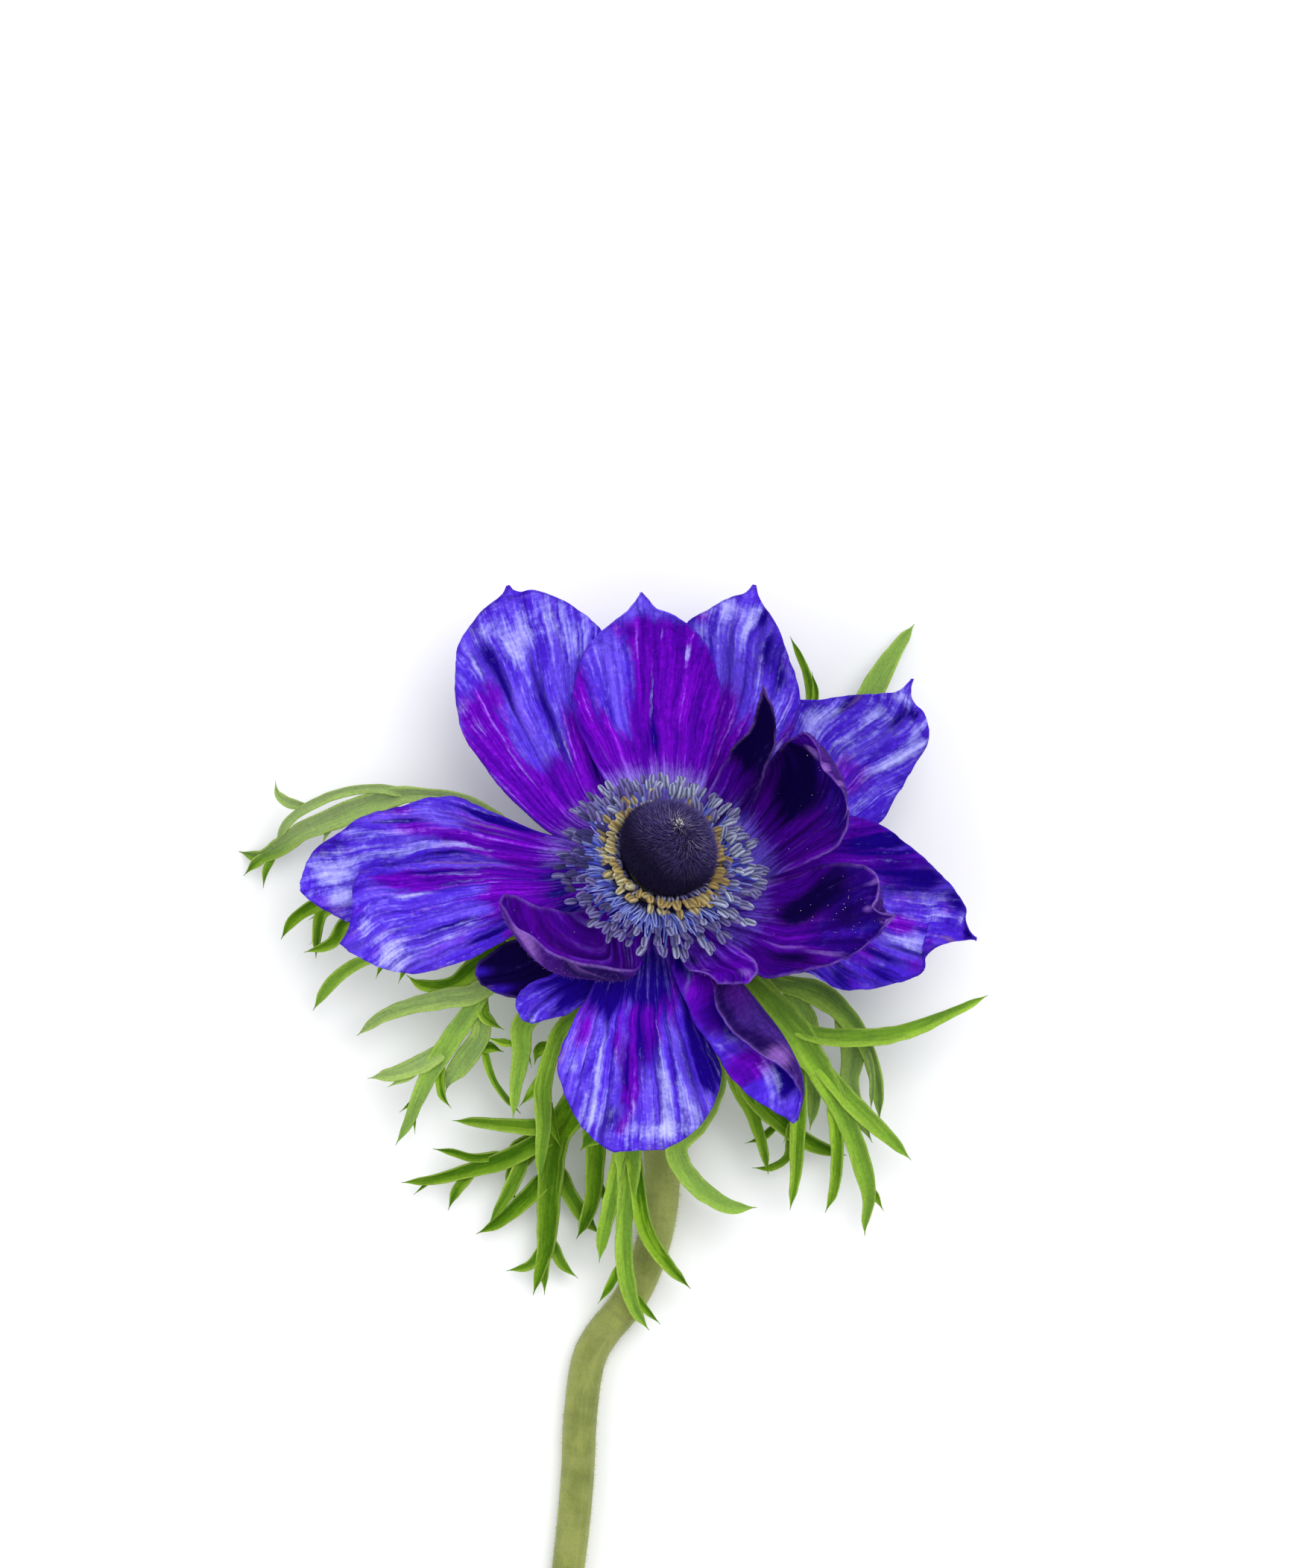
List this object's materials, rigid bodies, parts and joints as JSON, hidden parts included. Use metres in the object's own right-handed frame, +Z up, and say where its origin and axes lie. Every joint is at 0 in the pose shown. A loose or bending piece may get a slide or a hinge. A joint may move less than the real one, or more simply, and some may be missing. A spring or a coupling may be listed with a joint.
{
  "type": "anemone flower",
  "caption": "Cut anemone lying down: blue-violet petals round a dark domed centre with slate and gold stamens, a collar of divided green leaves and a curved fuzzy stem",
  "frame": {"origin": "middle of the flat underside of the lying stem, 52 mm along -Y from the centre of the head, on the surface", "axes": "+Z up from the surface, the stem lies towards -Y and the open face looks up and slightly towards +Y and +X"},
  "size_m": [0.1131, 0.1774, 0.0381],
  "materials": {
    "stem_green": "satin",
    "dome_dark": "matte",
    "stamen_slate": "matte",
    "stamen_gold": "matte",
    "petal_violet": "satin",
    "petal_velvet": "matte",
    "leaf_green": "satin"
  },
  "bodies": {
    "root": {"stem": "stem_green", "pistil_dome": "dome_dark", "stamens_outer": "stamen_slate", "stamens_inner": "stamen_gold", "petal_01_top_left": "petal_violet", "petal_02_top_middle": "petal_violet", "petal_03_top_right": "petal_violet", "petal_04_inner_upright": "petal_velvet", "petal_05_inner_right": "petal_velvet", "petal_06_right_upper": "petal_violet", "petal_07_right": "petal_violet", "petal_08_inner_lower_right": "petal_velvet", "petal_09_inner_small": "petal_velvet", "petal_10_folded": "petal_violet", "petal_11_bottom": "petal_violet", "petal_12_navy_left": "petal_violet", "petal_12b_navy_lower": "petal_violet", "petal_13_inner_boat": "petal_velvet", "petal_14_left_front": "petal_violet", "petal_15_left_back": "petal_violet", "leaf_left": "leaf_green", "leaf_lower": "leaf_green", "leaf_right": "leaf_green"}
  },
  "joints": []
}
